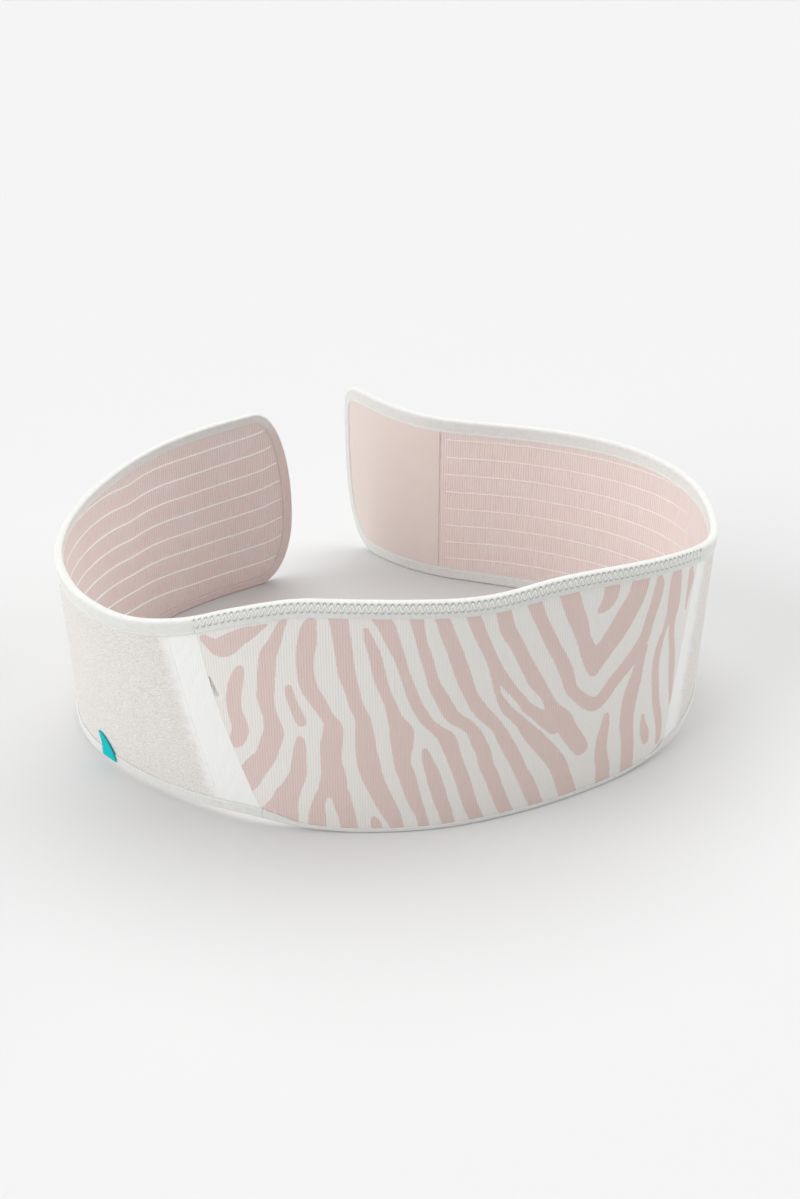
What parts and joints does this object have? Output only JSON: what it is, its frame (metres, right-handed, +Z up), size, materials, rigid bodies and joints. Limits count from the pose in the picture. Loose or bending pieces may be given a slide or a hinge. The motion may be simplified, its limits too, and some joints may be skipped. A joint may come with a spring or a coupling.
{
  "type": "maternity support belt",
  "caption": "Unfastened fabric support belt with a tall padded front, two elastic tails with rounded ends, folded bindings and a hook patch.",
  "frame": {"origin": "on the floor, at the middle of the belt's footprint as it stands on its lower edge", "axes": "+Z up; the printed front faces -Y and the open ends of the tails meet towards +Y; +X to the right as seen from in front"},
  "size_m": [0.3961, 0.3401, 0.155],
  "materials": {
    "print": "padded knit printed with pink zebra stripes on off-white",
    "trim": "white folded elastic tape",
    "band": "smooth white knit",
    "loop": "grainy off-white loop pile",
    "elastic": "pink ribbed elastic with fine white rubber lines",
    "hook": "smooth pink hook fastener",
    "tab": "plain teal woven tab"
  },
  "bodies": {
    "root": {"front_panel": "print", "front_top_trim": "trim", "front_bottom_hem": "trim", "joining_band_left": "band", "joining_band_right": "band", "side_panel_left": "loop", "side_panel_right": "loop", "tail_elastic_left": "elastic", "tail_elastic_right": "elastic", "side_binding_left": "trim", "side_binding_right": "trim", "hook_patch": "hook", "side_tab": "tab"}
  },
  "joints": []
}
